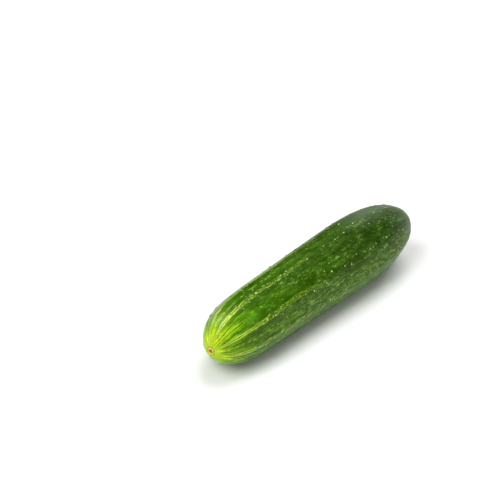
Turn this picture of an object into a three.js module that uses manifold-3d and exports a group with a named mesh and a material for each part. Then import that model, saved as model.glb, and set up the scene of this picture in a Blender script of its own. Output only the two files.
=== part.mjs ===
// A whole cucumber, picked, lying on its side on a level surface.
// Millimetres, +Z up. +X runs from the blossom end to the stem end, and the origin
// is on that surface, under the middle of the fruit.

import * as THREE from 'three';
import { mergeVertices } from 'three/addons/utils/BufferGeometryUtils.js';
import Module from 'manifold-3d';

// Fruit
const LENGTH = 200;
const RADIUS = 23.4;
const TAPER = 0.177; // gain in radius from end to end, as a share of RADIUS
const BLOSSOM_CAP = 53; // length of the rounding at the blossom end
const BLOSSOM_FULLNESS = 3.3; // exponents of the two caps: more is blunter
const STEM_CAP = 67;
const STEM_FULLNESS = 2.34;
const SIDE_BEND = 2.3; // the middle stands out this far to +Y
const END_RISE = 1.1; // the belly line rises this far to each end
const PRESSED_FLAT = 0.4; // depth of belly that the surface flattens

// Low relief of the skin: crests of the ribs, in degrees from +Y over the top
const RIB_CRESTS = [25, 65, 97, 145, 185, 225, 268, 305, 342];
const RIB_HEIGHT = 0.3; // above and below the mean skin
const LOBES = 3; // one over each seed chamber
const LOBE_HEIGHT = 0.25;
const TOP = 90;
const BELLY = 270;

// Blossom scar: a corky ring round a sunk centre
const SCAR_RADIUS = 2.9;
const SCAR_CREST = [1.65, 2.25]; // inner and outer radius of the ring's crest
const SCAR_PIT_RADIUS = 1.1;
const SCAR_PIT_DEPTH = 1.0;
const SCAR_HEIGHT = 0.75; // crest above the groove at its foot
const SCAR_SHIFT = 0.9; // off the centre line, away from the bend and downwards

// Stalk stub in its dimple
const DIMPLE_RIM = 9; // radii, from the rim inwards
const DIMPLE_WALL = 7.2;
const DIMPLE_FLOOR = 5.6;
const STALK_FOOT = 4.3;
const STALK_RADIUS = 3.9;
const DIMPLE_DEPTH = 2.9; // below the end of the fruit
const STALK_HEIGHT = 3.2; // above the floor of the dimple
const STALK_CHAMFER = 0.5;
const STALK_RIDGES = 5;
const STALK_FLUTE = 0.09; // depth of its flutes, as a share of its radius

// Warts
const WART_COUNT = 140;
const WART_RADIUS = 1.15;
const WART_TIP_RADIUS = 0.4;
const WART_HEIGHT = 0.62;
const WART_ROOT = 0.9; // depth sunk into the flesh
const WART_SIDES = 5;
const WART_SIZES = [0.75, 1.15]; // smallest and largest, as a share of the sizes above
const WART_REACH = [14, 188]; // first and last place along the fruit
const WART_CROWDING = 0.75; // under 1 draws them towards the stem end
const WART_SPACING = 5; // least distance between two
const WART_SPREAD = 13; // degrees to each side of a crest
const BELLY_CLEAR = 26; // degrees to each side of the belly line that stay bare
const SEED = 7;

// Lattice of the skin
const SIDES = 60;
const BLOSSOM_ROWS = 11;
const TRUNK_ROWS = 11;
const STEM_ROWS = 12;

const { clamp, degToRad, lerp, radToDeg, smoothstep } = THREE.MathUtils;

// Radius without the rounded ends
const trunkRadius = (x) => RADIUS * (1 + TAPER * (x / LENGTH - 0.5));

// Radius of the skin, both ends rounded by superellipses
function skinRadius(x) {
  const toBlossom = clamp((BLOSSOM_CAP - x) / BLOSSOM_CAP, 0, 1);
  const toStem = clamp((x - LENGTH + STEM_CAP) / STEM_CAP, 0, 1);
  const blossomCap = 1 - toBlossom ** BLOSSOM_FULLNESS;
  const stemCap = 1 - toStem ** STEM_FULLNESS;
  return trunkRadius(x) * Math.sqrt(blossomCap * stemCap);
}

// A wave round the fruit that is 1 on each rib's crest and -1 half way to the next
function ribWave(degrees) {
  const turn = ((degrees % 360) + 360) % 360;
  const next = RIB_CRESTS.find((crest) => crest > turn) ?? RIB_CRESTS[0] + 360;
  const last = RIB_CRESTS.findLast((crest) => crest <= turn) ?? RIB_CRESTS.at(-1) - 360;
  return Math.cos((2 * Math.PI * (turn - last)) / (next - last));
}

// A point at x along the fruit, at radius r from its centre line and an angle from +Y over the top
function place(x, r, degrees) {
  const angle = degToRad(degrees);
  const girth = r / trunkRadius(x);
  const ribs = RIB_HEIGHT * ribWave(degrees) * smoothstep(girth, 0.2, 1);
  const lobes = LOBE_HEIGHT * Math.cos(degToRad(LOBES * (degrees - TOP))) * girth ** 2;
  const reach = r + ribs + lobes;
  const along = (2 * x) / LENGTH - 1;
  const atTip = x < BLOSSOM_CAP ? SCAR_SHIFT * (1 - girth ** 2) : 0;
  const y = SIDE_BEND * (1 - along ** 2) - atTip + reach * Math.cos(angle);
  const z = trunkRadius(x) + END_RISE * along ** 2 - PRESSED_FLAT - atTip + reach * Math.sin(angle);
  return new THREE.Vector3(x, y, Math.max(z, 0));
}

const onSkin = (x, degrees) => place(x, skinRadius(x), degrees);

// Outline from the pit of the blossom scar to the cut face of the stalk: (radius, x)
function outline() {
  const points = [
    [0, SCAR_PIT_DEPTH],
    [SCAR_PIT_RADIUS, SCAR_PIT_DEPTH],
    [SCAR_CREST[0], 0],
    [SCAR_CREST[1], 0],
    [SCAR_RADIUS, SCAR_HEIGHT],
  ];
  for (let row = 2; row <= BLOSSOM_ROWS; row++) {
    const x = BLOSSOM_CAP * (1 - Math.cos((row / BLOSSOM_ROWS) * (Math.PI / 2)));
    points.push([skinRadius(x), x]);
  }
  const trunk = LENGTH - BLOSSOM_CAP - STEM_CAP;
  for (let row = 1; row <= TRUNK_ROWS; row++) {
    const x = BLOSSOM_CAP + (trunk * row) / TRUNK_ROWS;
    points.push([skinRadius(x), x]);
  }
  for (let row = 1; row <= STEM_ROWS; row++) {
    const x = LENGTH - STEM_CAP + STEM_CAP * Math.sin((row / STEM_ROWS) * (Math.PI / 2));
    if (skinRadius(x) > DIMPLE_RIM) points.push([skinRadius(x), x]);
  }
  const floor = LENGTH - DIMPLE_DEPTH;
  const cut = floor + STALK_HEIGHT;
  points.push(
    [DIMPLE_WALL, floor + STALK_CHAMFER],
    [DIMPLE_FLOOR, floor],
    [STALK_FOOT, floor + STALK_CHAMFER],
    [STALK_RADIUS, cut - STALK_CHAMFER],
    [STALK_RADIUS - STALK_CHAMFER, cut],
    [0, cut - STALK_CHAMFER / 2],
  );
  return points.map(([r, x]) => new THREE.Vector2(r, x));
}

// Shallow flutes round the stalk, between its ridges
function flute(x, r, degrees) {
  const onStalk = x > LENGTH - DIMPLE_DEPTH && r <= STALK_FOOT;
  return onStalk ? r * (1 + STALK_FLUTE * Math.cos(degToRad(STALK_RIDGES * degrees))) : r;
}

// The fruit: the outline turned round the centre line, then each point put in its place
function fruitGeometry() {
  const geometry = new THREE.LatheGeometry(outline(), SIDES);
  const position = geometry.attributes.position;
  for (let i = 0; i < position.count; i++) {
    const x = position.getY(i);
    const r = Math.hypot(position.getX(i), position.getZ(i));
    const degrees = radToDeg(Math.atan2(position.getX(i), position.getZ(i)));
    const point = place(x, flute(x, r, degrees), degrees);
    position.setXYZ(i, point.x, point.y, point.z);
  }
  return geometry;
}

// Repeatable draws between two limits, by a linear congruential generator
let state = SEED;
function draw(low, high) {
  state = (1664525 * state + 1013904223) % 2 ** 32;
  return low + ((high - low) * state) / 2 ** 32;
}

// Warts stand in loose bands on the ribs, few near the blossom end and none under the belly
function wartSites() {
  const sites = [];
  while (sites.length < WART_COUNT) {
    const x = lerp(...WART_REACH, draw(0, 1) ** WART_CROWDING);
    const crest = RIB_CRESTS[Math.floor(draw(0, RIB_CRESTS.length))];
    const degrees = crest + (draw(-WART_SPREAD, WART_SPREAD) + draw(-WART_SPREAD, WART_SPREAD)) / 2;
    const size = draw(...WART_SIZES);
    const point = onSkin(x, degrees);
    const bare = Math.abs(degrees - BELLY) < BELLY_CLEAR;
    const crowded = sites.some((site) => site.point.distanceTo(point) < WART_SPACING);
    if (!bare && !crowded) sites.push({ x, degrees, size, point });
  }
  return sites;
}

// The skin's outward direction
function outward(x, degrees) {
  const along = onSkin(x + 1, degrees).sub(onSkin(x - 1, degrees));
  const around = onSkin(x, degrees + 2).sub(onSkin(x, degrees - 2));
  return around.cross(along).normalize();
}

// One wart: a low blunt cone whose root goes into the flesh
function wartGeometry({ x, degrees, size, point }) {
  const flare = (WART_RADIUS - WART_TIP_RADIUS) * (WART_ROOT / WART_HEIGHT);
  const profile = [
    new THREE.Vector2(0, -WART_ROOT),
    new THREE.Vector2(WART_RADIUS + flare, -WART_ROOT),
    new THREE.Vector2(WART_TIP_RADIUS, WART_HEIGHT),
    new THREE.Vector2(0, WART_HEIGHT),
  ];
  const up = new THREE.Vector3(0, 1, 0);
  const turn = new THREE.Quaternion().setFromUnitVectors(up, outward(x, degrees));
  const geometry = new THREE.LatheGeometry(profile, WART_SIDES);
  geometry.scale(size, size, size).applyQuaternion(turn);
  return geometry.translate(point.x, point.y, point.z);
}

// Joins with manifold-3d
const wasm = await Module();
wasm.setup();

function toSolid(geometry) {
  geometry.deleteAttribute('normal');
  geometry.deleteAttribute('uv');
  const closed = mergeVertices(geometry, 1e-4);
  return new wasm.Manifold(new wasm.Mesh({
    numProp: 3,
    vertProperties: new Float32Array(closed.attributes.position.array),
    triVerts: new Uint32Array(closed.index.array),
  }));
}

function toGeometry(solid) {
  const mesh = solid.getMesh();
  const geometry = new THREE.BufferGeometry();
  geometry.setAttribute('position', new THREE.BufferAttribute(mesh.vertProperties, mesh.numProp));
  geometry.setIndex(new THREE.BufferAttribute(mesh.triVerts, 1));
  return geometry;
}

// The whole cucumber, with its origin under the middle of its box
function cucumberGeometry() {
  let solid = toSolid(fruitGeometry());
  for (const site of wartSites()) solid = solid.add(toSolid(wartGeometry(site)));
  const geometry = toGeometry(solid);
  geometry.computeBoundingBox();
  const middle = geometry.boundingBox.getCenter(new THREE.Vector3());
  geometry.translate(-middle.x, -middle.y, -geometry.boundingBox.min.z);
  geometry.computeVertexNormals();
  return geometry;
}

const skin = new THREE.MeshStandardMaterial({ color: 0x4b7a1c, roughness: 0.42, metalness: 0 });
const cucumber = new THREE.Mesh(cucumberGeometry(), skin);
cucumber.name = 'cucumber';

const model = new THREE.Group();
model.add(cucumber);

export default model;
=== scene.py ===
# %% [markdown]
# # A whole cucumber on a white table
#
# This lesson dresses a measured solid of a cucumber as the real vegetable: a waxy green skin with
# pale streaks and small warts, a corky scar at the blossom end and a cut stalk at the other.
# The solid is the frame. It gives the place and the size, and everything made here stays on it.
# Its size is an estimate, because nothing in the photograph gives the scale.

# %% Load the measured frame
import math

import bmesh
import bpy
import numpy as np
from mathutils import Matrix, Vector, noise


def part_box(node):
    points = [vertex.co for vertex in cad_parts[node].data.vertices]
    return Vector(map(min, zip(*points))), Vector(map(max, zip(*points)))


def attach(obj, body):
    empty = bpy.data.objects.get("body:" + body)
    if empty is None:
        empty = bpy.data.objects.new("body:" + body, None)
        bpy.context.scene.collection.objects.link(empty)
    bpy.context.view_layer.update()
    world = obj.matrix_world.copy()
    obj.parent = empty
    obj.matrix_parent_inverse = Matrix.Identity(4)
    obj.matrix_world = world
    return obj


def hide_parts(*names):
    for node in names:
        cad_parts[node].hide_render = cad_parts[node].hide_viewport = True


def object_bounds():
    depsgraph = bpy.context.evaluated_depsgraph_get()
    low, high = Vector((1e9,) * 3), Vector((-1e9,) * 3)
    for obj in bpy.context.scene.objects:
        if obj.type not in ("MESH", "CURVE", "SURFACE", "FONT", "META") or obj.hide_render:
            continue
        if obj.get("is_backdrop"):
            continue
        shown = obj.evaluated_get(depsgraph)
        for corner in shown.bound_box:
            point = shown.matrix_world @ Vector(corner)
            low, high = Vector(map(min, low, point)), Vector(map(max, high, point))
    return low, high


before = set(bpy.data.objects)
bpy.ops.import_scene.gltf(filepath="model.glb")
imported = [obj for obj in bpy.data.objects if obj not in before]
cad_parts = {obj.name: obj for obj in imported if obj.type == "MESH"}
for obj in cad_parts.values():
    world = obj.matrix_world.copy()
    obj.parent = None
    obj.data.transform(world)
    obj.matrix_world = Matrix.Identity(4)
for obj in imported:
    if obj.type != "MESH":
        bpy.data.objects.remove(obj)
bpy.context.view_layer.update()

# %% [markdown]
# ## The form of the fruit
#
# A cucumber grows nearly round, so its form can be written as a radius along its length. Each end
# is a superellipse: the exponent says how blunt it is. The radius grows a little towards the stem,
# the fruit bends a little to one side, and its belly is pressed flat where it lies. It could be
# sculpted, but a formula is better here: the same one gave the measured solid, so the fine skin
# lies right on it.

# %% Sizes of the fruit
mm = 0.001
LENGTH = 200 * mm
RADIUS = 23.4 * mm
TAPER = 0.177
BLOSSOM_CAP = 53 * mm
BLOSSOM_FULLNESS = 3.3
STEM_CAP = 67 * mm
STEM_FULLNESS = 2.34
SIDE_BEND = 2.3 * mm
END_RISE = 1.1 * mm
PRESSED_FLAT = 0.4 * mm


def trunk_radius(x):
    """Radius without the rounded ends."""
    return RADIUS * (1 + TAPER * (x / LENGTH - 0.5))


def skin_radius(x):
    """Radius of the skin, with both ends rounded."""
    to_blossom = np.clip((BLOSSOM_CAP - x) / BLOSSOM_CAP, 0, 1)
    to_stem = np.clip((x - LENGTH + STEM_CAP) / STEM_CAP, 0, 1)
    caps = (1 - to_blossom**BLOSSOM_FULLNESS) * (1 - to_stem**STEM_FULLNESS)
    return trunk_radius(x) * np.sqrt(caps)


for x in (50, 100, 150):
    print("diameter in mm at", x, "mm:", round(2000 * float(skin_radius(x * mm)), 1))

# %% [markdown]
# ## Ribs and lobes
#
# Low ribs run the length of the fruit. They are not evenly spaced, so a wave is stretched between
# each crest and the next. Three very low lobes stand over the seed chambers. Each rib carries a
# pale streak from the blossom end. Each streak has a strength and a length of its own.

# %% Ribs: crest in degrees from +Y over the top, strength of its streak, length of its streak
RIBS = [
    (25, 0.8, 95 * mm),
    (65, 0.9, 112 * mm),
    (97, 1.0, 108 * mm),
    (145, 1.0, 104 * mm),
    (185, 0.9, 124 * mm),
    (225, 0.8, 104 * mm),
    (268, 0.7, 90 * mm),
    (305, 0.9, 112 * mm),
    (342, 0.8, 98 * mm),
]
RIB_HEIGHT = 0.3 * mm
LOBES = 3
LOBE_HEIGHT = 0.25 * mm
TOP = 90
BELLY = 270
CRESTS = np.array([RIBS[-1][0] - 360, *(rib[0] for rib in RIBS), RIBS[0][0] + 360], float)


def rib_wave(degrees):
    """1 on each crest and -1 half way to the next."""
    turn = degrees % 360
    after = np.searchsorted(CRESTS, turn, side="right")
    last = CRESTS[after - 1]
    return np.cos(2 * np.pi * (turn - last) / (CRESTS[after] - last))


def smoothstep(value, low, high):
    """0 below low, 1 above high, and an even S between."""
    share = np.clip((value - low) / (high - low), 0, 1)
    return share * share * (3 - 2 * share)


# %% [markdown]
# ## Where a point of the skin goes
#
# The skin is first made as a straight turned shape. This function then takes each point, by its
# place along the fruit, its radius and its angle, to where it is on the bent and ribbed fruit. A
# Curve modifier could bend it too, but it would not follow the measured solid's own formula.

# %% Place points
SCAR_SHIFT = 0.9 * mm


def place(x, r, degrees):
    """Rows of (x, y, z) for points at x along the fruit, a radius and an angle from +Y over the top."""
    x, r, degrees = np.broadcast_arrays(*(np.asarray(v, float) for v in (x, r, degrees)))
    angle = np.radians(degrees)
    girth = r / trunk_radius(x)
    ribs = RIB_HEIGHT * rib_wave(degrees) * smoothstep(girth, 0.2, 1)
    lobes = LOBE_HEIGHT * np.cos(LOBES * (angle - math.radians(TOP))) * girth**2
    reach = r + ribs + lobes
    along = 2 * x / LENGTH - 1
    at_tip = np.where(x < BLOSSOM_CAP, SCAR_SHIFT * (1 - girth**2), 0)
    y = SIDE_BEND * (1 - along**2) - at_tip + reach * np.cos(angle)
    z = trunk_radius(x) + END_RISE * along**2 - PRESSED_FLAT - at_tip + reach * np.sin(angle)
    return np.stack([x, y, z], axis=-1)


print("top of the middle in mm:", (1000 * place(LENGTH / 2, RADIUS, TOP)).round(1))

# %% [markdown]
# ## Where the warts stand
#
# A cucumber's warts are what is left of the spines that it had when young. They stand in loose
# bands on the ribs and crowd towards the stem. The draws come from a small generator with a fixed
# seed, in the same order as in the measured solid, so every wart here covers one of the solid's.

# %% Draw the warts' places
WART_COUNT = 140
WART_SIZES = (0.75, 1.15)
WART_REACH = (14 * mm, 188 * mm)
WART_CROWDING = 0.75
WART_SPACING = 5 * mm
WART_SPREAD = 13
BELLY_CLEAR = 26
SEED = 7


def draws(state):
    """Endless repeatable numbers between 0 and 1."""
    while True:
        state = (1664525 * state + 1013904223) % 2**32
        yield state / 2**32


def wart_sites():
    """Rows of (x, degrees, size)."""
    luck = draws(SEED)
    sites, points = [], []
    while len(sites) < WART_COUNT:
        x = WART_REACH[0] + (WART_REACH[1] - WART_REACH[0]) * next(luck) ** WART_CROWDING
        crest = RIBS[int(next(luck) * len(RIBS))][0]
        degrees = crest + WART_SPREAD * (next(luck) + next(luck) - 1)
        size = WART_SIZES[0] + (WART_SIZES[1] - WART_SIZES[0]) * next(luck)
        point = place(x, skin_radius(x), degrees)
        bare = abs(degrees - BELLY) < BELLY_CLEAR
        crowded = any(np.linalg.norm(other - point) < WART_SPACING for other in points)
        if not bare and not crowded:
            sites.append((x, degrees, size))
            points.append(point)
    return np.array(sites)


warts = wart_sites()
print("warts:", len(warts), "on the blossom half:", int((warts[:, 0] < LENGTH / 2).sum()))

# %% [markdown]
# ## The outline
#
# One outline is turned to make the whole skin. It starts in the pit of the blossom scar, climbs
# over the corky ring, runs along the fruit, dips round the stalk and ends on the stalk's cut face.
# The scar and the stalk have rows a few tenths of a millimetre apart, and the long body has one for
# each millimetre. The skin's own green reaches down the first rows of the dimple, and the stalk's
# finish starts below them.

# %% Outline of the blossom scar
SCAR_RADIUS = 2.9 * mm
SCAR_CREST = (1.65 * mm, 2.25 * mm)
SCAR_PIT_RADIUS = 0.9 * mm
SCAR_PIT_DEPTH = 1.0 * mm
SCAR_HEIGHT = 0.75 * mm
GROOVE_WIDTH = 0.9 * mm
GROOVE_REACH = 1.5  # widths over which the groove rises back to the skin
SCAR_ROWS = 22
BESIDE_ROWS = 8


def dome_x(r, cap, fullness, end_radius):
    """Distance from the very end of a rounded cap back to where its radius is r."""
    return cap * (1 - (1 - (r / end_radius) ** 2) ** (1 / fullness))


def scar_outline():
    """(x, r) from the centre of the pit to the skin beside the ring."""
    r = np.linspace(0, SCAR_RADIUS, SCAR_ROWS)
    pit = SCAR_PIT_DEPTH * (1 - smoothstep(r, SCAR_PIT_RADIUS, SCAR_CREST[0]))
    side = SCAR_HEIGHT * smoothstep(r, SCAR_CREST[1], SCAR_RADIUS)
    beside = np.linspace(SCAR_RADIUS, SCAR_RADIUS + 2 * GROOVE_WIDTH, BESIDE_ROWS)[1:]
    skin = dome_x(beside, BLOSSOM_CAP, BLOSSOM_FULLNESS, trunk_radius(0))
    groove = SCAR_HEIGHT - dome_x(SCAR_RADIUS, BLOSSOM_CAP, BLOSSOM_FULLNESS, trunk_radius(0))
    groove_end = SCAR_RADIUS + GROOVE_REACH * GROOVE_WIDTH
    groove = groove * (1 - smoothstep(beside, SCAR_RADIUS, groove_end))
    return [*zip(pit + side, r), *zip(skin + groove, beside)]


scar_rows = scar_outline()
print("rows on the scar and beside it:", len(scar_rows))

# %% Outline of the stalk in its dimple
DIMPLE_RIM = 9 * mm
DIMPLE_DEPTH = 2.9 * mm
STALK_FOOT = 4.7 * mm
STALK_RADIUS = 3.9 * mm
STALK_HEIGHT = 3.2 * mm
STALK_CHAMFER = 0.5 * mm
STALK_CORNER = np.radians(np.linspace(15, 90, 5))
DIMPLE_ROWS = 18
GREEN_ROWS = 10
STALK_SIDE_ROWS = 7
CUT_FACE_ROWS = 12


def stalk_outline():
    """(x, r) from the dimple's rim inwards, up the stalk and over its cut face."""
    r = np.linspace(DIMPLE_RIM, STALK_FOOT, DIMPLE_ROWS)
    skin = LENGTH - dome_x(r, STEM_CAP, STEM_FULLNESS, trunk_radius(LENGTH))
    floor = LENGTH - DIMPLE_DEPTH
    dip = 1 - smoothstep(r, STALK_FOOT + STALK_CHAMFER, DIMPLE_RIM - STALK_CHAMFER)
    points = [*zip(skin + (floor - skin) * dip, r)]
    turn = STALK_CORNER
    fillet = STALK_FOOT - STALK_RADIUS
    points += [*zip(floor + fillet * (1 - np.cos(turn)), STALK_FOOT - fillet * np.sin(turn))]
    cut = floor + STALK_HEIGHT
    sides = np.linspace(floor + fillet, cut - STALK_CHAMFER, STALK_SIDE_ROWS)[1:]
    points += [(x, STALK_RADIUS) for x in sides]
    points += [
        (cut - STALK_CHAMFER * (1 - np.sin(a)), STALK_RADIUS - STALK_CHAMFER * (1 - np.cos(a)))
        for a in turn[1:]
    ]
    inner = np.linspace(STALK_RADIUS - STALK_CHAMFER, 0, CUT_FACE_ROWS)[1:]
    dish = STALK_CHAMFER / 2 * (1 - (inner / STALK_RADIUS) ** 2)
    return points + [*zip(cut - dish, inner)]


stalk_rows = stalk_outline()
print("rows in the dimple and on the stalk:", len(stalk_rows))

# %% The whole outline, with the body's rows evenly spaced
ROW_STEP = 1.0 * mm
MEASURING_STEPS = 4000


def body_outline(first_radius):
    """(x, r) of the skin from the scar's side to the dimple's rim, evenly spaced along the skin."""
    start = dome_x(first_radius, BLOSSOM_CAP, BLOSSOM_FULLNESS, trunk_radius(0))
    end = LENGTH - dome_x(DIMPLE_RIM, STEM_CAP, STEM_FULLNESS, trunk_radius(LENGTH))
    turn = np.linspace(0, np.pi, MEASURING_STEPS)
    x = start + (end - start) * (1 - np.cos(turn)) / 2
    r = skin_radius(x)
    run = np.concatenate([[0], np.cumsum(np.hypot(np.diff(x), np.diff(r)))])
    even = np.linspace(0, run[-1], round(run[-1] / ROW_STEP) + 1)[1:-1]
    return [*zip(np.interp(even, run, x), np.interp(even, run, r))]


outline = scar_rows + body_outline(scar_rows[-1][1]) + stalk_rows
outline_x, outline_r = np.array(outline).T
outline_run = np.concatenate([[0], np.cumsum(np.hypot(np.diff(outline_x), np.diff(outline_r)))])
total_run = float(outline_run[-1])
scar_run = float(outline_run[np.searchsorted(outline_r[:len(scar_rows)], SCAR_RADIUS)])
stalk_start = float(outline_run[len(outline) - len(stalk_rows) + GREEN_ROWS])
print("rows:", len(outline), "and from pole to pole in mm:", round(1000 * total_run, 1))

# %% [markdown]
# ## Turn the outline
#
# Spin copies the outline's edges round the axis and joins each copy to the last. A full spin with
# use_merge closes the seam, and remove_doubles closes the two poles. The axis is X, and the angle
# starts at +Y and goes over the top, as in the formulas. Each point of the outline also carries its
# distance from the blossom pole over the skin. It is put in a layer of the mesh before the spin,
# and spinning and cutting keep it.

# %% Spin
SIDES = 160
SAME_POINT = 0.001 * mm


def turned_skin():
    """A closed bmesh of the straight fruit, lying along X."""
    bm = bmesh.new()
    run_layer = bm.verts.layers.float.new("run")
    chain = [bm.verts.new((x, r, 0)) for x, r in outline]
    for vert, distance in zip(chain, outline_run):
        vert[run_layer] = distance
    edges = [bm.edges.new(pair) for pair in zip(chain, chain[1:])]
    bmesh.ops.spin(
        bm, geom=chain + edges, cent=(0, 0, 0), axis=(1, 0, 0),
        angle=2 * math.pi, steps=SIDES, use_merge=True,
    )
    bmesh.ops.remove_doubles(bm, verts=bm.verts, dist=SAME_POINT)
    bmesh.ops.recalc_face_normals(bm, faces=bm.faces)
    return bm


skin_bm = turned_skin()
print("faces after the spin:", len(skin_bm.faces))

# %% [markdown]
# ## More faces where the relief is fine
#
# A wart is two millimetres wide and a streak's ridges less than one, so a face a millimetre wide
# is too coarse for them, but fine enough everywhere else. A Subdivision Surface modifier would cut
# all faces alike. Here only the faces in the streaked bands and round the warts are cut in four,
# and those of the warts themselves once more.

# %% Measure on the unrolled skin
# How the crests wander: degrees, length over which a swing turns, and its step from rib to rib
CREST_SWINGS = ((1.6, 19 * mm, 2.4), (0.9, 7 * mm, 5))
WANDER_RISE = (25 * mm, 70 * mm)


def unrolled(vectors):
    """x, girth radius and degrees of points of the straight fruit."""
    x, y, z = np.asarray(vectors, float).T
    return x, np.hypot(y, z), np.degrees(np.arctan2(z, y)) % 360


def nearest_rib(x, degrees):
    """Index of the nearest crest, and degrees away from it. The crests wander along the fruit."""
    crests = np.array([rib[0] for rib in RIBS], float)
    ranks = np.arange(len(crests))
    swings = sum(turn * np.sin(x[:, None] / wave + step * ranks) for turn, wave, step in CREST_SWINGS)
    wander = swings * smoothstep(x, *WANDER_RISE)[:, None]
    away = (degrees[:, None] - crests - wander + 180) % 360 - 180
    index = np.abs(away).argmin(axis=1)
    return index, away[np.arange(len(x)), index]


def wart_distance(x, r, degrees):
    """Distance to the nearest wart over the skin, divided by that wart's size."""
    turn = (degrees[:, None] - warts[:, 1] + 180) % 360 - 180
    round_it = np.radians(turn) * r[:, None]
    slope = (skin_radius(warts[:, 0] + mm) - skin_radius(warts[:, 0] - mm)) / (2 * mm)
    lean = np.hypot(1, slope)
    return (np.hypot((x[:, None] - warts[:, 0]) * lean, round_it) / warts[:, 2]).min(axis=1)


# %% Cut the faces that need it
STREAK_BAND = 2.8 * mm
STREAK_START = 6 * mm
WART_SKIRT = 2.1 * mm
WART_CORE = 1.25 * mm


def cut_faces(bm, wanted):
    """Cuts in four each face whose centre the test picks."""
    bm.faces.ensure_lookup_table()
    x, r, degrees = unrolled([face.calc_center_median() for face in bm.faces])
    chosen = np.flatnonzero(wanted(x, r, degrees))
    edges = {edge for index in chosen for edge in bm.faces[index].edges}
    bmesh.ops.subdivide_edges(bm, edges=list(edges), cuts=1, use_grid_fill=True)


def in_streak_or_wart(x, r, degrees):
    """Whether each point lies in a streaked band or on the skirt of a wart."""
    index, away = nearest_rib(x, degrees)
    reach = np.array([rib[2] for rib in RIBS])[index]
    streak = (np.radians(np.abs(away)) * r < STREAK_BAND) & (x > STREAK_START) & (x < reach)
    return streak | (wart_distance(x, r, degrees) < WART_SKIRT)


cut_faces(skin_bm, in_streak_or_wart)
cut_faces(skin_bm, lambda x, r, degrees: wart_distance(x, r, degrees) < WART_CORE)
print("faces after the cuts:", len(skin_bm.faces))

# %% [markdown]
# ## Bend and press the skin, and keep what the finish needs
#
# The mesh is made now, while it is still straight, because the straight shape tells each point's
# place along the fruit and round it. These go into attributes: the finish follows the skin by them,
# and not by a flat projection, which would smear over the ends.

# %% Make the mesh and read its straight shape
STALK_CLEAR = 5 * mm
skin_mesh = bpy.data.meshes.new("cucumber_skin")
skin_bm.to_mesh(skin_mesh)
skin_bm.free()
cucumber = bpy.data.objects.new("cucumber_fruit", skin_mesh)
bpy.context.scene.collection.objects.link(cucumber)


def rows_of(items, field):
    """One row of three numbers for each item of a mesh."""
    flat = np.empty(3 * len(items), np.float32)
    items.foreach_get(field, flat)
    return flat.reshape(-1, 3).astype(float)


along, girth_radius, degrees = unrolled(rows_of(skin_mesh.vertices, "co"))
# The cuts left points in the middle of flat faces, so the body's points go out to the round skin
on_body = (girth_radius > scar_rows[-1][1]) & (along < LENGTH - STALK_CLEAR)
girth_radius = np.where(on_body, skin_radius(np.clip(along, 0, LENGTH)), girth_radius)
print("points:", len(along))

# %% Distance along the skin from the pole of the blossom end
run = np.empty(len(along), np.float32)
skin_mesh.attributes["run"].data.foreach_get("value", run)
run = run.astype(float)
near_scar = run < outline_run[len(scar_rows) - 1]
print("run from", round(1000 * run.min(), 1), "to", round(1000 * run.max(), 1))

# %% Flutes of the stalk, and the scar's torn ring
STALK_RIDGES = 5
STALK_FLUTE = 0.09
TEAR_SIZE = 0.9 * mm
TEAR_SIDEWAYS = 0.14 * mm
TEAR_HEIGHT = 0.08 * mm
TEAR_RISE = (0.3 * mm, 1.2 * mm)
on_stalk = (run > total_run / 2) & (girth_radius < STALK_FOOT)
flutes = 1 + STALK_FLUTE * np.cos(np.radians(STALK_RIDGES * degrees))
shaped_radius = girth_radius * np.where(on_stalk, flutes, 1)


def noise_at(points, size):
    """Smooth noise between -1 and 1 at each point, with features of about that size."""
    return np.array([noise.noise(Vector(point)) for point in points / size])


def wrapped(x, radius):
    """Rows of (x, y, z) of every point on a straight fruit, at x along it and a radius."""
    angle = np.radians(degrees)
    return np.stack([x, radius * np.cos(angle), radius * np.sin(angle)], axis=-1)


straight = wrapped(along, girth_radius)
on_scar = near_scar & (girth_radius < SCAR_RADIUS)
torn = noise_at(straight, TEAR_SIZE) * smoothstep(girth_radius, *TEAR_RISE)
torn = np.where(on_scar, torn, 0)
shaped_radius = shaped_radius + TEAR_SIDEWAYS * torn
print("points on the stalk:", int(on_stalk.sum()), "and on the scar:", int(on_scar.sum()))

# %% [markdown]
# ## Relief
#
# Height is added outwards from the smooth skin: very low dents and swellings, the crinkled double
# ridges of the streaks, and the warts. A wart is a low mound with a narrower tip, so two bell
# curves of different widths are added. The measured solid's warts are as high and as wide.

# %% Heights in metres
WART_HEIGHT = 0.62 * mm
WART_FOOT = 0.95 * mm
WART_TIP = 0.5 * mm
FOOT_SHARE = 0.45
SWELL_HEIGHT = 0.1 * mm
SWELL_SIZE = 9 * mm
SWELL_RISE = (4 * mm, 12 * mm)
SWELL_PRESSED = (0.5, 1, 1)
RIDGE_HEIGHT = 0.16 * mm
RIDGE_APART = 0.95 * mm
RIDGE_WIDTH = 0.5 * mm
RIDGE_RISE = (12 * mm, 45 * mm)
CRINKLE_SIZE = 1.9 * mm
CRINKLE_PRESSED = (0.6, 1, 1)
CRINKLE_DEPTH = 0.9
# A streak fades from this far before the end of its reach to this far past it
STREAK_FADE = (38 * mm, 6 * mm)


def bell(distance, width):
    """1 at no distance, and falling off smoothly over about that width."""
    return np.exp(-((distance / width) ** 2))


rib_index, rib_away = nearest_rib(along, degrees)
rib_distance = np.radians(np.abs(rib_away)) * girth_radius
rib_strength = np.array([rib[1] for rib in RIBS])[rib_index]
rib_reach = np.array([rib[2] for rib in RIBS])[rib_index]
fade_start, fade_end = rib_reach - STREAK_FADE[0], rib_reach + STREAK_FADE[1]
rib_strength = rib_strength * (1 - smoothstep(along, fade_start, fade_end))
to_wart = wart_distance(along, girth_radius, degrees)

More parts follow.
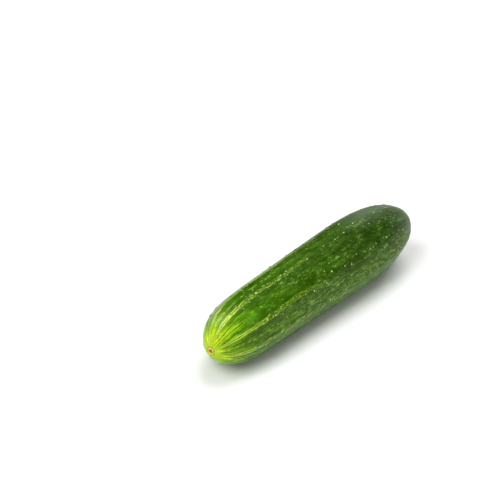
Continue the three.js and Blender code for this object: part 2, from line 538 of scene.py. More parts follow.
skin_place = wrapped(run, RADIUS)
crinkle = noise_at(skin_place * CRINKLE_PRESSED, CRINKLE_SIZE)
crinkle = np.clip(0.5 + CRINKLE_DEPTH * crinkle, 0, 1)
ridge = bell(rib_distance - RIDGE_APART, RIDGE_WIDTH) * crinkle
ridge = ridge * rib_strength * smoothstep(along, *RIDGE_RISE)
mound = FOOT_SHARE * bell(to_wart, WART_FOOT) + (1 - FOOT_SHARE) * bell(to_wart, WART_TIP)
swell = noise_at(skin_place * SWELL_PRESSED, SWELL_SIZE) * smoothstep(girth_radius, *SWELL_RISE)
height = RIDGE_HEIGHT * ridge + WART_HEIGHT * mound + SWELL_HEIGHT * swell + TEAR_HEIGHT * torn
print("greatest height in mm:", round(1000 * float(height.max()), 2))

# %% Move every point to its place
def move_points(points):
    """Puts every vertex of the skin at its own row of (x, y, z)."""
    skin_mesh.vertices.foreach_set("co", points.astype(np.float32).ravel())
    skin_mesh.update()


smooth_skin = place(along, shaped_radius, degrees)
move_points(smooth_skin)
placed = smooth_skin + height[:, None] * rows_of(skin_mesh.vertex_normals, "vector")
placed[:, 2] = np.maximum(placed[:, 2], 0)
cad_low_node, cad_high_node = (np.array(corner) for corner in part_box("cucumber"))
shift = (cad_low_node + cad_high_node) / 2 - (placed.min(axis=0) + placed.max(axis=0)) / 2
shift[2] = cad_low_node[2] - placed[:, 2].min()
placed += shift
move_points(placed)
skin_mesh.shade_smooth()
size = placed.max(axis=0) - placed.min(axis=0)
print("moved by, in mm:", (1000 * shift).round(2), "size in mm:", (1000 * size).round(2))

# %% Keep the attributes
FAR_FROM_SCAR = 10 * mm


def keep(mesh, name, values):
    """Stores one number or one vector for each vertex."""
    kind, field = ("FLOAT_VECTOR", "vector") if values.ndim == 2 else ("FLOAT", "value")
    attribute = mesh.attributes.new(name, kind, "POINT")
    attribute.data.foreach_set(field, values.astype(np.float32).ravel())


keep(skin_mesh, "skin_place", skin_place)
keep(skin_mesh, "rib_distance", rib_distance)
keep(skin_mesh, "rib_strength", rib_strength)
keep(skin_mesh, "wart_distance", to_wart)
keep(skin_mesh, "scar_radius", np.where(near_scar, girth_radius, FAR_FROM_SCAR))
middle = (degrees[:, None] - (CRESTS[1:-1] + CRESTS[2:]) / 2 + 180) % 360 - 180
keep(skin_mesh, "valley_distance", np.radians(np.abs(middle).min(axis=1)) * girth_radius)
print("attributes:", len(skin_mesh.attributes))

# %% Unroll the skin into a UV map
CLOSE_ENOUGH = 0.01 * mm
UV_MARGIN = 0.004
NEVER_ZERO = 1e-9


def unroll_uv(mesh):
    """One strip: round the fruit across, pole to pole upwards, the seam where the spin began."""
    layer = mesh.uv_layers.new(name="OFBake")
    corners = np.empty(len(mesh.loops), np.int32)
    mesh.loops.foreach_get("vertex_index", corners)
    sizes = np.empty(len(mesh.polygons), np.int32)
    mesh.polygons.foreach_get("loop_total", sizes)
    face = np.repeat(np.arange(len(sizes)), sizes)
    turn = np.radians(degrees[corners])
    weight = girth_radius[corners] + NEVER_ZERO
    across = np.bincount(face, weight * np.cos(turn))
    over = np.bincount(face, weight * np.sin(turn))
    centre = np.degrees(np.arctan2(over, across))[face] % 360
    at_pole = girth_radius[corners] < CLOSE_ENOUGH
    u = np.where(at_pole, centre, centre + (degrees[corners] - centre + 180) % 360 - 180) / 360
    up = run[corners] / total_run
    uv = UV_MARGIN + (1 - 2 * UV_MARGIN) * np.stack([u, up], axis=-1)
    layer.data.foreach_set("uv", uv.astype(np.float32).ravel())
    return uv


uv = unroll_uv(skin_mesh)
print("uv range:", uv.min(axis=0).round(3), uv.max(axis=0).round(3))

# %% [markdown]
# ## Colours and one helper
#
# Colours are read as sRGB hex values, the way that a paint chart gives them, and turned to the
# linear values that Blender mixes light in. Every node of every material is made by one small
# function: it makes the node, applies its settings, and fills its inputs with values or links.

# %% Helpers for materials
def colour(code):
    """Linear RGBA of an sRGB hex value."""
    parts = [int(code[i:i + 2], 16) / 255 for i in (1, 3, 5)]
    return [*(c / 12.92 if c <= 0.04045 else ((c + 0.055) / 1.055) ** 2.4 for c in parts), 1.0]


def add(tree, kind, inputs, output=0, **settings):
    """Adds a node and returns one of its outputs.

    The inputs are a list in the node's own order, or a dictionary by name or number. Each is a
    value or another node's output.
    """
    made = tree.nodes.new("ShaderNode" + kind)
    for name, value in settings.items():
        setattr(made, name, value)
    for key, value in inputs.items() if isinstance(inputs, dict) else enumerate(inputs):
        if isinstance(value, bpy.types.NodeSocket):
            tree.links.new(value, made.inputs[key])
        else:
            made.inputs[key].default_value = value
    return made.outputs[output] if made.outputs else None


def set_stops(ramp, stops, length):
    """Fills a colour ramp from rows of distance and sRGB colour, over a length."""
    elements = ramp.node.color_ramp.elements
    while len(elements) < len(stops):
        elements.new(1.0)
    for element, (distance, code) in zip(elements, stops):
        element.position = distance / length
        element.color = colour(code)


def new_material(name):
    """A material with an empty node tree."""
    material = bpy.data.materials.new(name)
    material.use_nodes = True
    material.node_tree.nodes.clear()
    return material, material.node_tree


# A range that eases in and out, which suits the edge of a spot of colour
EASED = {"interpolation_type": "SMOOTHSTEP"}
# A node that multiplies numbers or vectors
TIMES = {"operation": "MULTIPLY"}
# A node that mixes two colours: its inputs 0, 6 and 7 are the amount and the colours
BLEND = {"data_type": "RGBA"}
print("middle grey in linear light:", round(colour("#808080")[0], 3))

# %% [markdown]
# ## The skin: a waxed plant surface
#
# A cucumber's skin is a smooth layer of cells under a thin natural wax. Its refractive index is
# about 1.45, like most plant wax, and its gloss is soft. What makes it look alive is colour: lime
# at the blossom end, bright green on the way, deep green and a little grey at the stem. The colour
# follows the attribute that holds each point's place on the skin, and copies of that place, pressed
# together along the fruit, stretch a pattern along it.

# %% Skin: place on the skin, and stretched copies of it
skin, tree = new_material("cucumber_skin_waxed")
where = add(tree, "Attribute", {}, "Vector", attribute_name="skin_place")
run_out = add(tree, "SeparateXYZ", [where])
long_place, row_place, streaky_place, dash_place = (
    add(tree, "VectorMath", [where, (pressed, 1, 1)], **TIMES)
    for pressed in (0.05, 0.1, 0.25, 0.55)
)

# %% Skin: colour along the fruit, by the distance from the blossom pole
ALONG = [
    (4 * mm, "#d2e81a"),
    (10 * mm, "#b2d614"),
    (18 * mm, "#78aa0e"),
    (28 * mm, "#51860a"),
    (44 * mm, "#3f6d05"),
    (72 * mm, "#386303"),
    (110 * mm, "#315604"),
    (150 * mm, "#264508"),
    (190 * mm, "#1c320a"),
    (222 * mm, "#35491f"),
]
drift = add(tree, "TexNoise", {"Vector": streaky_place, "Scale": 1 / (12 * mm), "Detail": 2.0})
shifted = add(tree, "MapRange", [drift, 0.3, 0.7, -10 * mm, 10 * mm])
run_shifted = add(tree, "Math", [run_out, shifted], operation="ADD")
share = add(tree, "MapRange", [run_shifted, 0, total_run, 0, 1])
base = add(tree, "ValToRGB", [share])
set_stops(base, ALONG, total_run)
print("nodes so far:", len(tree.nodes))

# %% [markdown]
# ### Paler flanks and belly, partly painted fill light
#
# A cucumber is palest on the side that grew in the shade. Here that is the belly, and the flanks
# fade into it. The paleness is also painted fill light on the lower side, which the lamps leave in
# shade. The place on the skin is on a straight round fruit, so its Z tells how far down a point is.

# %% Skin: paler flanks and belly, partly painted fill light
# Paler lower side: partly the fruit's own pale colour, partly painted fill light
flank_and_painted_fill = add(tree, "MapRange", [run_out.node.outputs["Z"], 0.6 * RADIUS, -0.5 * RADIUS, 0, 0.7])
flank_rise = add(tree, "MapRange", [run_out, 50 * mm, 120 * mm, 0.35, 1])
flank_and_fill_amount = add(tree, "Math", [flank_and_painted_fill, flank_rise], **TIMES)
base = add(tree, "Mix", {0: flank_and_fill_amount, 6: base, 7: colour("#5e8c22")}, 2, **BLEND)
print("nodes so far:", len(tree.nodes))

# %% [markdown]
# ### Soft mottling and long fibres
#
# No patch of a real skin is one green. Three noises vary it: soft mottling of about 6 mm, long
# fibres of about 1 mm across that run with the fruit, and a leathery grain of 1 to 2 mm. The real
# grain is finer, but would not show in the render.

# %% Skin: mottling, fibres and grain
mottle = add(tree, "TexNoise", {"Vector": dash_place, "Scale": 1 / (6 * mm), "Detail": 3.0})
mottle_tone = add(tree, "MapRange", [mottle, 0.34, 0.66, 0.68, 1.28])
fibre = add(tree, "TexNoise", {
    "Vector": long_place, "Scale": 1 / (1.2 * mm), "Detail": 4.0, "Roughness": 0.6,
})
fibre_tone = add(tree, "MapRange", [fibre, 0.3, 0.7, 0.72, 1.28])
leather = add(tree, "TexNoise", {
    "Vector": streaky_place, "Scale": 1 / (1.4 * mm), "Detail": 2.0, "Roughness": 0.6,
})
leather_tone = add(tree, "MapRange", [leather, 0.38, 0.62, 0.68, 1.34])
tone = add(tree, "Math", [mottle_tone, fibre_tone], **TIMES)
tone = add(tree, "Math", [tone, leather_tone], **TIMES)
base = add(tree, "VectorMath", {0: base, "Scale": tone}, operation="SCALE")
print("nodes so far:", len(tree.nodes))

# %% [markdown]
# ### Rays round the blossom scar
#
# From the scar many thin pale rays spread out, with dark lines between them, and they fade after a
# few centimetres. The noise is stretched so far along the fruit that it changes only round it.
# Painted shade darkens the groove round the foot of the scar's ring.

# %% Skin: rays
RAY_WIDTH = 1.5 * mm
ray_noise = add(tree, "TexNoise", {
    "Vector": long_place, "Scale": 1 / RAY_WIDTH, "Detail": 3.0, "Roughness": 0.7,
})
ray = add(tree, "MapRange", [ray_noise, 0.52, 0.6, 0, 1], **EASED)
ray_fade = add(tree, "MapRange", [run_out, 9 * mm, 38 * mm, 0.55, 0])
ray_amount = add(tree, "Math", [ray, ray_fade], **TIMES)
base = add(tree, "Mix", {0: ray_amount, 6: base, 7: colour("#c6e030")}, 2, **BLEND)
gap = add(tree, "MapRange", [ray_noise, 0.47, 0.4, 0, 1], **EASED)
gap_rise = add(tree, "MapRange", [run_out, 4 * mm, 15 * mm, 0, 0.95])
gap_fade = add(tree, "MapRange", [run_out, 26 * mm, 80 * mm, 1, 0.3])
gap_here = add(tree, "Math", [gap_rise, gap_fade], **TIMES)
gap_amount = add(tree, "Math", [gap, gap_here], **TIMES)
base = add(tree, "Mix", {0: gap_amount, 6: base, 7: colour("#305b03")}, 2, **BLEND)
print("nodes so far:", len(tree.nodes))

# %% Skin: painted shade in the groove at the foot of the scar's ring
scar_away = add(tree, "Attribute", {}, "Fac", attribute_name="scar_radius")
groove_end = SCAR_RADIUS + GROOVE_WIDTH
# Painted shade: the skin in the groove is darkened
groove = add(tree, "MapRange", [scar_away, SCAR_RADIUS, groove_end, 0.7, 0], **EASED)
base = add(tree, "Mix", {0: groove, 6: base, 7: colour("#5f6c08")}, 2, **BLEND)

# %% [markdown]
# ### Streaks on the ribs
#
# Each rib carries a streak of two pale lines with green between them. Near the blossom end the
# lines are thin, smooth and bright. Further on they crinkle and break up, grains take their place,
# and half way along the fruit they fade. The distance from the rib is an attribute, so the lines
# are much finer than the faces. One noise pushes that distance about, and a second breaks the lines.

# %% Skin: the two smooth lines of each streak
rib_away_value = add(tree, "Attribute", {}, "Fac", attribute_name="rib_distance")
strength = add(tree, "Attribute", {}, "Fac", attribute_name="rib_strength")
push_noise = add(tree, "TexNoise", {"Vector": dash_place, "Scale": 1 / (2.2 * mm), "Detail": 2.0})
push = add(tree, "MapRange", [push_noise, 0.25, 0.75, -0.8 * mm, 0.8 * mm])
push_more = add(tree, "MapRange", [run_out, 15 * mm, 55 * mm, 0.2, 1.2])
pushed = add(tree, "Math", [push, push_more, rib_away_value], operation="MULTIPLY_ADD")
apart = add(tree, "MapRange", [run_out, 8 * mm, 65 * mm, 0.45 * mm, 1.1 * mm])
off_line = add(tree, "Math", [pushed, apart], operation="SUBTRACT")
off_line = add(tree, "Math", [off_line], operation="ABSOLUTE")
line = add(tree, "MapRange", [off_line, 0.12 * mm, 0.45 * mm, 1, 0], **EASED)
smooth_part = add(tree, "MapRange", [run_out, 50 * mm, 100 * mm, 0.9, 0])
line_amount = add(tree, "Math", [line, smooth_part], **TIMES)
break_noise = add(tree, "TexNoise", {
    "Vector": dash_place, "Scale": 1 / (1.5 * mm), "Detail": 2.0, "Roughness": 0.6,
})
broken = add(tree, "MapRange", [break_noise, 0.43, 0.58, 0.1, 1], **EASED)
whole = add(tree, "MapRange", [run_out, 22 * mm, 52 * mm, 1, broken])
line_amount = add(tree, "Math", [line_amount, whole], **TIMES)
line_rise = add(tree, "MapRange", [run_out, 4 * mm, 22 * mm, 0.25, 1])
line_amount = add(tree, "Math", [line_amount, line_rise], **TIMES)
line_amount = add(tree, "Math", [line_amount, strength], **TIMES)

# %% Skin: the yellow-green band under the lines, and painted shade beside it
band = add(tree, "MapRange", [pushed, 0.7 * mm, 2.0 * mm, 0.5, 0], **EASED)
band_amount = add(tree, "Math", [band, strength], **TIMES)
base = add(tree, "Mix", {0: band_amount, 6: base, 7: colour("#71980f")}, 2, **BLEND)
# Painted shade: the skin just beside each raised streak is darkened
streak_shade_near = add(tree, "MapRange", [pushed, 1.4 * mm, 2.2 * mm, 0, 1], **EASED)
streak_shade_far = add(tree, "MapRange", [pushed, 2.8 * mm, 5.5 * mm, 0.55, 0], **EASED)
edge = add(tree, "Math", [streak_shade_near, streak_shade_far], **TIMES)
streak_shade_start = add(tree, "MapRange", [run_out, 12 * mm, 40 * mm, 0, 1])
streak_shade_here = add(tree, "Math", [streak_shade_start, strength], **TIMES)
streak_shade_amount = add(tree, "Math", [edge, streak_shade_here], **TIMES)
base = add(tree, "Mix", {0: streak_shade_amount, 6: base, 7: colour("#284f04")}, 2, **BLEND)
base = add(tree, "Mix", {0: line_amount, 6: base, 7: colour("#cbe45e")}, 2, **BLEND)
print("nodes so far:", len(tree.nodes))

# %% [markdown]
# ### Grains and flecks
#
# The crinkled part of a streak is a chain of pale grains, each with a rim of painted shade round
# its foot. Fewer and smaller ones are sprinkled over the rest of the skin. Voronoi cells give both:
# a grain is the middle of a cell, and the cell's own random colour draws whether it shows. The draw
# is easy to win in a streak and hard beside it. A noise pushes the place about first, because real
# grains are not round. The real ones are down to half a millimetre wide, and these are wider, so
# that they show.

# %% Skin: grains of two sizes, large in the streaks and small elsewhere
WARP = 1.1 * mm
warp_noise = {"Vector": dash_place, "Scale": 1 / (0.9 * mm), "Detail": 1.0}
warp = add(tree, "TexNoise", warp_noise, "Color")
grain_place = add(tree, "VectorMath", [warp, (WARP,) * 3, dash_place], operation="MULTIPLY_ADD")


def grains(size, odds):
    """How pale and how dark a point is in a field of grains of one size, with the odds of each.

    The dark is painted rim shade. Distances from the middle of a cell are shares of its size.
    """
    cell = add(tree, "TexVoronoi", {"Vector": grain_place, "Scale": 1 / size}, "Distance")
    random = add(tree, "SeparateXYZ", [cell.node.outputs["Color"]])
    won = add(tree, "Math", [odds, random], operation="SUBTRACT")
    won = add(tree, "MapRange", [won, 0, 0.05, 0, 1])
    pale = add(tree, "MapRange", [cell, 0.14, 0.36, 1, 0], **EASED)
    # Painted shade: a darker rim round each grain
    rim_shade_in = add(tree, "MapRange", [cell, 0.28, 0.42, 0, 1], **EASED)
    rim_shade_out = add(tree, "MapRange", [cell, 0.5, 0.75, 0.65, 0], **EASED)
    dark = add(tree, "Math", [rim_shade_in, rim_shade_out], **TIMES)
    own = add(tree, "MapRange", [random.node.outputs["Y"], 0.2, 1, 0.2, 1])
    pale = add(tree, "Math", [pale, own], **TIMES)
    return tuple(add(tree, "Math", [amount, won], **TIMES) for amount in (pale, dark))


in_band = add(tree, "MapRange", [pushed, 1.0 * mm, 1.9 * mm, 1, 0], **EASED)
band_rise = add(tree, "MapRange", [run_out, 25 * mm, 50 * mm, 0, 0.8])
band_odds = add(tree, "Math", [in_band, band_rise], **TIMES)
band_odds = add(tree, "Math", [band_odds, strength], **TIMES)
field_rise = add(tree, "MapRange", [run_out, 20 * mm, 80 * mm, 0.08, 0.35])
patches = add(tree, "MapRange", [mottle, 0.38, 0.62, 0.3, 1.6])
field_odds = add(tree, "Math", [field_rise, patches], **TIMES)
raised = line_amount
for size, odds, strongest, code in (
    (1.8 * mm, band_odds, 1.0, "#cce87c"),
    (1.5 * mm, field_odds, 0.5, "#a6c670"),
):
    pale, dark = grains(size, odds)
    # Painted shade round the grains' rims
    base = add(tree, "Mix", {0: dark, 6: base, 7: colour("#234604")}, 2, **BLEND)
    fade = add(tree, "MapRange", [run_out, 80 * mm, 210 * mm, strongest, 0.55 * strongest])
    pale_shown = add(tree, "Math", [pale, fade], **TIMES)
    base = add(tree, "Mix", {0: pale_shown, 6: base, 7: colour(code)}, 2, **BLEND)
    raised = add(tree, "Math", [raised, pale], operation="MAXIMUM")
print("nodes so far:", len(tree.nodes))

# %% [markdown]
# ### Fine flecks
#
# Between the grains the skin is full of finer flecks, pale ones and dark ones. A noise of about a
# millimetre gives both, its highest places pale and its lowest dark. A second noise, stretched
# along the fruit, gathers the pale ones in loose rows, as they are on the real skin.

# %% Skin: fine flecks, pale and dark
fleck_noise = add(tree, "TexNoise", {
    "Vector": dash_place, "Scale": 1 / (1.3 * mm), "Detail": 2.0, "Roughness": 0.7,
})
fleck_sum = add(tree, "Math", [mottle, 0.4, fleck_noise], operation="MULTIPLY_ADD")
fleck = add(tree, "MapRange", [fleck_sum, 0.76, 0.9, 0, 1])
row_noise = add(tree, "TexNoise", {"Vector": row_place, "Scale": 1 / (3 * mm), "Detail": 2.0})
row = add(tree, "MapRange", [row_noise, 0.42, 0.6, 0.12, 1], **EASED)
fleck_rise = add(tree, "MapRange", [run_out, 30 * mm, 90 * mm, 0.1, 0.55])
fleck_here = add(tree, "Math", [row, fleck_rise], **TIMES)
fleck_amount = add(tree, "Math", [fleck, fleck_here], **TIMES)
base = add(tree, "Mix", {0: fleck_amount, 6: base, 7: colour("#96b862")}, 2, **BLEND)
dark_fleck = add(tree, "MapRange", [fleck_sum, 0.58, 0.49, 0, 0.8])
base = add(tree, "Mix", {0: dark_fleck, 6: base, 7: colour("#1f3c06")}, 2, **BLEND)
print("nodes so far:", len(tree.nodes))

# %% [markdown]
# ### Fine lines on the flanks
#
# The flanks show the pale side of the fruit through a net of fine lines, lighter and darker than
# the skin, which run with it. One noise gives both, as another does the flecks. The lines fade out
# towards the top and weaken towards the blossom end. The real ones are less than half a millimetre
# wide, and these are about twice that, so that they show.

# %% Skin: pale and dark lines on the flanks
net = add(tree, "TexNoise", {
    "Vector": streaky_place, "Scale": 1 / (1.3 * mm), "Detail": 2.0, "Roughness": 0.6,
})
net_side = add(tree, "MapRange", [run_out.node.outputs["Z"], 0.75 * RADIUS, 0.1 * RADIUS, 0, 1])
net_rise = add(tree, "MapRange", [run_out, 30 * mm, 90 * mm, 0.3, 1])
net_here = add(tree, "Math", [net_side, net_rise], **TIMES)
for low, high, strongest, code in ((0.56, 0.64, 0.38, "#9fbd68"), (0.46, 0.38, 0.75, "#2a4a08")):
    net_line = add(tree, "MapRange", [net, low, high, 0, strongest])
    net_amount = add(tree, "Math", [net_line, net_here], **TIMES)
    base = add(tree, "Mix", {0: net_amount, 6: base, 7: colour(code)}, 2, **BLEND)
print("nodes so far:", len(tree.nodes))

# %% [markdown]
# ### Short dashes between the ribs
#
# The valleys between the ribs carry weaker lines of short pale dashes near the blossom end.

# %% Skin: dashes in the valleys
valley = add(tree, "Attribute", {}, "Fac", attribute_name="valley_distance")
valley_line = add(tree, "MapRange", [valley, 0.2 * mm, 1.3 * mm, 1, 0], **EASED)
dash_noise = add(tree, "TexNoise", {"Vector": dash_place, "Scale": 1 / (1.6 * mm), "Detail": 1.0})
dash = add(tree, "MapRange", [dash_noise, 0.56, 0.62, 0, 1], **EASED)
dash_fade = add(tree, "MapRange", [run_out, 55 * mm, 110 * mm, 0.75, 0.1])
dash_here = add(tree, "Math", [dash, dash_fade], **TIMES)
dash_amount = add(tree, "Math", [dash_here, valley_line], **TIMES)
base = add(tree, "Mix", {0: dash_amount, 6: base, 7: colour("#a6cf3a")}, 2, **BLEND)
print("nodes so far:", len(tree.nodes))

# %% [markdown]
# ### Warts
#
# The tip of each wart is pale, partly where the spine broke off and partly as a painted highlight,
# and painted shade darkens a slight ring round its foot. The distance from the nearest wart is an
# attribute too.

# %% Skin: warts
wart_value = add(tree, "Attribute", {}, "Fac", attribute_name="wart_distance")
# Painted shade: a darker ring round each wart's foot
foot_shade_in = add(tree, "MapRange", [wart_value, 0.5 * mm, 0.85 * mm, 0, 1], **EASED)
foot_shade_out = add(tree, "MapRange", [wart_value, 0.9 * mm, 1.7 * mm, 0.5, 0], **EASED)
foot_shade_amount = add(tree, "Math", [foot_shade_in, foot_shade_out], **TIMES)
base = add(tree, "Mix", {0: foot_shade_amount, 6: base, 7: colour("#234607")}, 2, **BLEND)
# The pale tip is partly the spine's scar and partly a painted highlight
tip = add(tree, "MapRange", [wart_value, 0.2 * mm, 0.7 * mm, 1, 0], **EASED)
tip_own = add(tree, "MapRange", [row_noise, 0.4, 0.6, 0.25, 1])
tip_and_highlight_amount = add(tree, "Math", [tip, tip_own], **TIMES)
base = add(tree, "Mix", {0: tip_and_highlight_amount, 6: base, 7: colour("#d4e8a4")}, 2, **BLEND)
print("nodes so far:", len(tree.nodes))

# %% [markdown]
# ### Bloom with painted reflection, gloss and fine relief
#
# Towards the stem the skin turns a dull grey and is rougher: the roughness runs from about 0.29 to
# 0.46. The grey is partly the bloom of thicker wax and partly a painted reflection, which starts
# sooner on the back. The specular level, half of the usual 0.5, and the yellow tint of the
# reflections are matched to the sheen in the photograph. Real wax reflects without a tint, so under
# other lights the sheen may look too yellow. Relief finer than the faces is left to bumps: the
# leathery grain, and the pale lines and grains, which stand up by about a tenth of a millimetre.

# %% Skin: shader
# Painted reflection: the grey towards the stem is partly bloom and partly painted sheen
bloom_and_sheen_along = add(tree, "MapRange", [run_out, 175 * mm, 222 * mm, 0, 0.6])
bloom_and_sheen_patch = add(tree, "MapRange", [drift, 0.3, 0.7, 0.6, 1.2])
bloom_and_painted_sheen = add(tree, "Math", [bloom_and_sheen_along, bloom_and_sheen_patch], **TIMES)
# Painted reflection: more grey sheen on the back
back_sheen_side = [run_out.node.outputs["Y"], -0.5 * RADIUS, 0.15 * RADIUS, 0, 0.5]
painted_back_sheen = add(tree, "MapRange", back_sheen_side, **EASED)
back_sheen_rise = add(tree, "MapRange", [run_out, 140 * mm, 178 * mm, 0, bloom_and_sheen_patch], **EASED)
painted_back_sheen = add(tree, "Math", [painted_back_sheen, back_sheen_rise], **TIMES)
bloom_and_painted_sheen = add(tree, "Math", [bloom_and_painted_sheen, painted_back_sheen], operation="MAXIMUM")
base = add(tree, "Mix", {0: bloom_and_painted_sheen, 6: base, 7: colour("#74876a")}, 2, **BLEND)
wax = add(tree, "MapRange", [run_out, 30 * mm, 200 * mm, 0.29, 0.46])
rough_change = add(tree, "MapRange", [mottle, 0.3, 0.7, -0.05, 0.05])
rough = add(tree, "Math", [wax, rough_change], operation="ADD")
rough = add(tree, "Math", [raised, 0.1, rough], operation="MULTIPLY_ADD")
fine_bump = add(tree, "Bump", {"Strength": 1.0, "Distance": 0.05 * mm, "Height": leather})
skin_bump = add(tree, "Bump", {
    "Strength": 1.0, "Distance": 0.13 * mm, "Height": raised, "Normal": fine_bump,
})
surface = add(tree, "BsdfPrincipled", {
    "Base Color": base,
    "Roughness": rough,
    "IOR": 1.45,
    "Specular IOR Level": 0.25,
    "Specular Tint": colour("#ffffa0"),
    "Normal": skin_bump,
})
add(tree, "OutputMaterial", [surface])
print("nodes in the skin material:", len(tree.nodes))

# %% [markdown]
# ## The blossom scar: dry cork
#
# Where the flower fell off, the skin closes with a ring of dry cork: tan on the crest, brown in
# the torn pit. Cork is matt, with a roughness near 0.8. Its colour goes by the distance from the
# middle, and a noise of half a millimetre makes it crumbly.

# %% Scar material
CORK_BUMP = 0.12 * mm
CORK_CRUMB = 0.5 * mm
CORK = [
    (0, "#a87c34"),
    (0.6 * mm, "#74500f"),
    (1.1 * mm, "#8a6616"),
    (1.5 * mm, "#bc9038"),
    (2.1 * mm, "#f4dc6c"),
    (2.5 * mm, "#d2b04c"),
    (2.9 * mm, "#8c8c24"),
]
cork, tree = new_material("blossom_scar_dry_cork")
from_middle = add(tree, "Attribute", {}, "Fac", attribute_name="scar_radius")
cork_place = add(tree, "TexCoord", {}, "Object")
cork_noise = add(tree, "TexNoise", {"Vector": cork_place, "Scale": 1 / CORK_CRUMB, "Detail": 3.0})
cork_push = add(tree, "MapRange", [cork_noise, 0.3, 0.7, -CORK_CRUMB, CORK_CRUMB])
from_middle = add(tree, "Math", [from_middle, cork_push], operation="ADD")
cork_share = add(tree, "MapRange", [from_middle, 0, SCAR_RADIUS, 0, 1])
cork_colour = add(tree, "ValToRGB", [cork_share])
set_stops(cork_colour, CORK, SCAR_RADIUS)
cork_tone = add(tree, "MapRange", [cork_noise, 0.3, 0.7, 0.6, 1.3])
cork_colour = add(tree, "VectorMath", {0: cork_colour, "Scale": cork_tone}, operation="SCALE")
cork_bump = add(tree, "Bump", {"Strength": 1.0, "Distance": CORK_BUMP, "Height": cork_noise})
surface = add(tree, "BsdfPrincipled", {
    "Base Color": cork_colour, "Roughness": 0.8, "IOR": 1.4, "Normal": cork_bump,
})
add(tree, "OutputMaterial", [surface])
print("nodes in the cork material:", len(tree.nodes))

# %% [markdown]
# ## The stalk: a cut stem
#
# The stalk was cut with a knife. Its side is a dull green with fine ridges. The cut face is pale
# and fibrous, with a ring of darker strands inside and an edge that dried brown. The colour goes by
# the distance from the middle of the cut face over the surface.

# %% Stalk material
STALK_BUMP = 0.15 * mm
STALK = [
    (0, "#cfc690"),
    (1.4 * mm, "#d8cf98"),
    (2.1 * mm, "#8d8748"),
    (2.8 * mm, "#c9c184"),
    (3.5 * mm, "#8a6d35"),
    (4.0 * mm, "#5f7a2c"),
    (6.7 * mm, "#54772a"),
    (9.0 * mm, "#41601f"),
]
stalk, tree = new_material("cut_stalk_fibrous")
stalk_place = add(tree, "Attribute", {}, "Vector", attribute_name="skin_place")
stalk_run = add(tree, "SeparateXYZ", [stalk_place])
from_pole = add(tree, "Math", [total_run, stalk_run], operation="SUBTRACT")
stalk_long = add(tree, "VectorMath", [stalk_place, (0.25, 1, 1)], **TIMES)
strand = add(tree, "TexNoise", {"Vector": stalk_long, "Scale": 1 / (3.5 * mm), "Detail": 4.0})
stalk_push = add(tree, "MapRange", [strand, 0.3, 0.7, -0.25 * mm, 0.25 * mm])
from_pole = add(tree, "Math", [from_pole, stalk_push], operation="ADD")
stalk_share = add(tree, "MapRange", [from_pole, 0, STALK[-1][0], 0, 1])
stalk_colour = add(tree, "ValToRGB", [stalk_share])
set_stops(stalk_colour, STALK, STALK[-1][0])
stalk_tone = add(tree, "MapRange", [strand, 0.3, 0.7, 0.75, 1.2])
stalk_colour = add(tree, "VectorMath", {0: stalk_colour, "Scale": stalk_tone}, operation="SCALE")
stalk_bump = add(tree, "Bump", {"Strength": 1.0, "Distance": STALK_BUMP, "Height": strand})
surface = add(tree, "BsdfPrincipled", {
    "Base Color": stalk_colour, "Roughness": 0.7, "IOR": 1.4, "Normal": stalk_bump,
})
add(tree, "OutputMaterial", [surface])
print("nodes in the stalk material:", len(tree.nodes))

# %% Give each face its material
for material in (skin, cork, stalk):
    skin_mesh.materials.append(material)
CORK_SLOT, STALK_SLOT = 1, 2
for polygon in skin_mesh.polygons:
    runs = run[list(polygon.vertices)]
    if runs.max() <= scar_run + CLOSE_ENOUGH:
        polygon.material_index = CORK_SLOT
    elif runs.min() >= stalk_start:
        polygon.material_index = STALK_SLOT
print("cork faces:", sum(polygon.material_index == CORK_SLOT for polygon in skin_mesh.polygons))

# %% Put the fruit in place of the plain solid
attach(cucumber, "root")
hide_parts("cucumber")
print(cucumber.name, "has", len(skin_mesh.materials), "materials")

# %% [markdown]
# ## Table, light and camera
#
# The table is plain matt white. Two wide soft lights stand high over the two ends, a little behind
# the fruit, so the shadow falls in front of it and is lighter towards both ends. A soft box gives
# the pale sheen on the shoulder of the blossom end, and it shows in reflections alone. The other
# lights show in none, because they would grey the deep green. The room is bright in front, on the
# blossom side, and dim elsewhere. The camera's place and its focal length come from fitting the
# measured solid's outline to the fruit in the photograph.

# %% Table
TABLE_REACH = 12.0
table_bm = bmesh.new()
bmesh.ops.create_grid(table_bm, x_segments=1, y_segments=1, size=TABLE_REACH)
table_mesh = bpy.data.meshes.new("table_top")
table_bm.to_mesh(table_mesh)
table_bm.free()
table = bpy.data.objects.new("table_top", table_mesh)
bpy.context.scene.collection.objects.link(table)
white, tree = new_material("table_matt_white")
surface = add(tree, "BsdfPrincipled", {
    "Base Color": colour("#f2f2f2"), "Roughness": 0.9, "Specular IOR Level": 0.2,
})
add(tree, "OutputMaterial", [surface])
table_mesh.materials.append(white)
table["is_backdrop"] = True
print("table, metres across:", 2 * TABLE_REACH)

# %% Room light
ROOM_BRIGHT = 0.6
ROOM_DIM = 0.08
BRIGHT_SIDE = (-0.66, -0.65, 0.38)
world = bpy.data.worlds.new("white_room")
bpy.context.scene.world = world
world.use_nodes = True
tree = world.node_tree
tree.nodes.clear()
direction = add(tree, "TexCoord", {}, "Generated")
facing = add(tree, "VectorMath", [direction, BRIGHT_SIDE], "Value", operation="DOT_PRODUCT")
room = add(tree, "MapRange", [facing, -0.1, 0.8, ROOM_DIM, ROOM_BRIGHT], **EASED)
background = add(tree, "Background", {"Color": colour("#ffffff"), "Strength": room})
add(tree, "OutputWorld", [background])
world.cycles_visibility.glossy = False
print("room light, dim and bright:", ROOM_DIM, ROOM_BRIGHT)

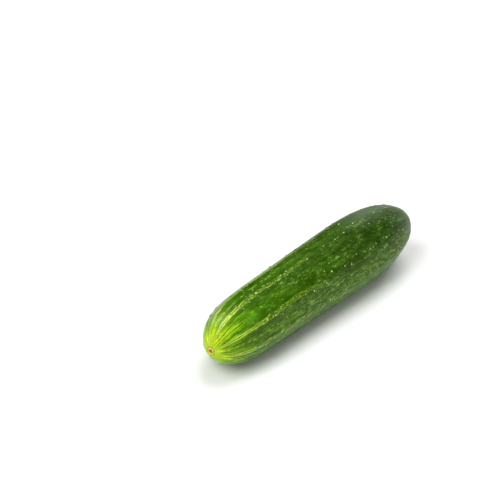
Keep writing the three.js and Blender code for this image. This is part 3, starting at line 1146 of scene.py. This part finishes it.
# %% Lamps
def aim(thing, start, target):
    """Puts a lamp or a camera at a place and turns it to a target."""
    thing.location = start
    thing.rotation_euler = (Vector(target) - Vector(start)).to_track_quat("-Z", "Y").to_euler()


LIGHT_WIDTH = math.radians(48)
for name, energy, start in (
    ("blossom_side_light", 2.0, (-0.95, 0.24, 1.3)),
    ("stem_side_light", 2.1, (0.8, 0.17, 1.3)),
):
    sun = bpy.data.lights.new(name, "SUN")
    sun.energy = energy
    sun.angle = LIGHT_WIDTH
    lamp = bpy.data.objects.new(name, sun)
    bpy.context.scene.collection.objects.link(lamp)
    lamp.visible_glossy = False
    aim(lamp, start, (0, 0, 0))

SHOULDER = Vector((-0.07, 0, 0.03))
TO_SOFT_BOX = Vector((-0.24, 0.46, 0.85)).normalized()
SOFT_BOX_AWAY = 1.2
SOFT_BOX_SIZE = (0.9, 0.7)
SOFT_BOX_WATTS = 40.0
soft_box = bpy.data.lights.new("back_soft_box", "AREA")
soft_box.shape = "RECTANGLE"
soft_box.size, soft_box.size_y = SOFT_BOX_SIZE
soft_box.energy = SOFT_BOX_WATTS
soft_box_lamp = bpy.data.objects.new("back_soft_box", soft_box)
bpy.context.scene.collection.objects.link(soft_box_lamp)
soft_box_lamp.visible_diffuse = False
aim(soft_box_lamp, SHOULDER + SOFT_BOX_AWAY * TO_SOFT_BOX, SHOULDER)

# %% Camera
PHOTO_PIXELS = 500
FOCAL_PIXELS = 2175
CAMERA_AZIMUTH = math.radians(-47.47)
CAMERA_ELEVATION = math.radians(35)
CAMERA_DISTANCE = 1547 * mm
LOOK_AT = Vector((24.35, 76.80, 0)) * mm
SENSOR_WIDTH = 36
CAMERA_REACH = (0.05, 50)
camera_data = bpy.data.cameras.new("photo_camera")
camera_data.sensor_width = SENSOR_WIDTH
camera_data.lens = SENSOR_WIDTH * FOCAL_PIXELS / PHOTO_PIXELS
camera_data.clip_start, camera_data.clip_end = CAMERA_REACH
camera = bpy.data.objects.new("photo_camera", camera_data)
bpy.context.scene.collection.objects.link(camera)
to_camera = Vector((
    math.sin(CAMERA_AZIMUTH) * math.cos(CAMERA_ELEVATION),
    -math.cos(CAMERA_AZIMUTH) * math.cos(CAMERA_ELEVATION),
    math.sin(CAMERA_ELEVATION),
))
aim(camera, LOOK_AT + CAMERA_DISTANCE * to_camera, LOOK_AT)
bpy.context.scene.camera = camera
bpy.context.scene.view_settings.view_transform = "Standard"
print("lens in mm:", round(camera_data.lens, 1))

# %% [markdown]
# ## The size of the dressed fruit
#
# The dressed fruit has to fill the same box as the measured solid. Its box is printed.

# %% Print the dressed fruit's box
low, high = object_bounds()
print("visual box in mm:", [round(1000 * v, 1) for v in high - low])
